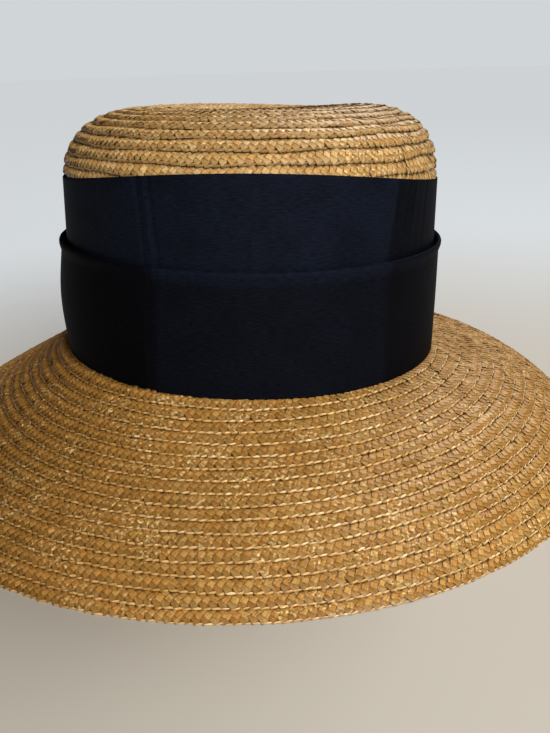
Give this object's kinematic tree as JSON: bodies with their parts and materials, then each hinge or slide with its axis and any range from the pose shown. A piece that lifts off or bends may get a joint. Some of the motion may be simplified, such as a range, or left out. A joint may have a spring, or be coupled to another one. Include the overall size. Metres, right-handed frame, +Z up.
{
  "type": "straw hat",
  "caption": "Straw hat sewn from overlapping rows of plait, with a rounded hollow crown, a wide brim that slopes down all round, and a dark cloth band in two tiers.",
  "frame": {"origin": "middle of the rim, on the surface that the hat rests on", "axes": "+Z up through the crown, +X to the hat's right as seen in the picture, +Y from front to back, so the pictured front faces -Y"},
  "size_m": [0.3402, 0.359, 0.1588],
  "materials": {
    "straw_plait": "plaited wheat straw, golden, waxy and slightly glossy",
    "band_cloth": "blue-black woven cloth with a fine crosswise rib, nearly matt"
  },
  "bodies": {
    "root": {"crown": "straw_plait", "brim": "straw_plait", "band_upper": "band_cloth", "band_lower": "band_cloth"}
  },
  "joints": []
}
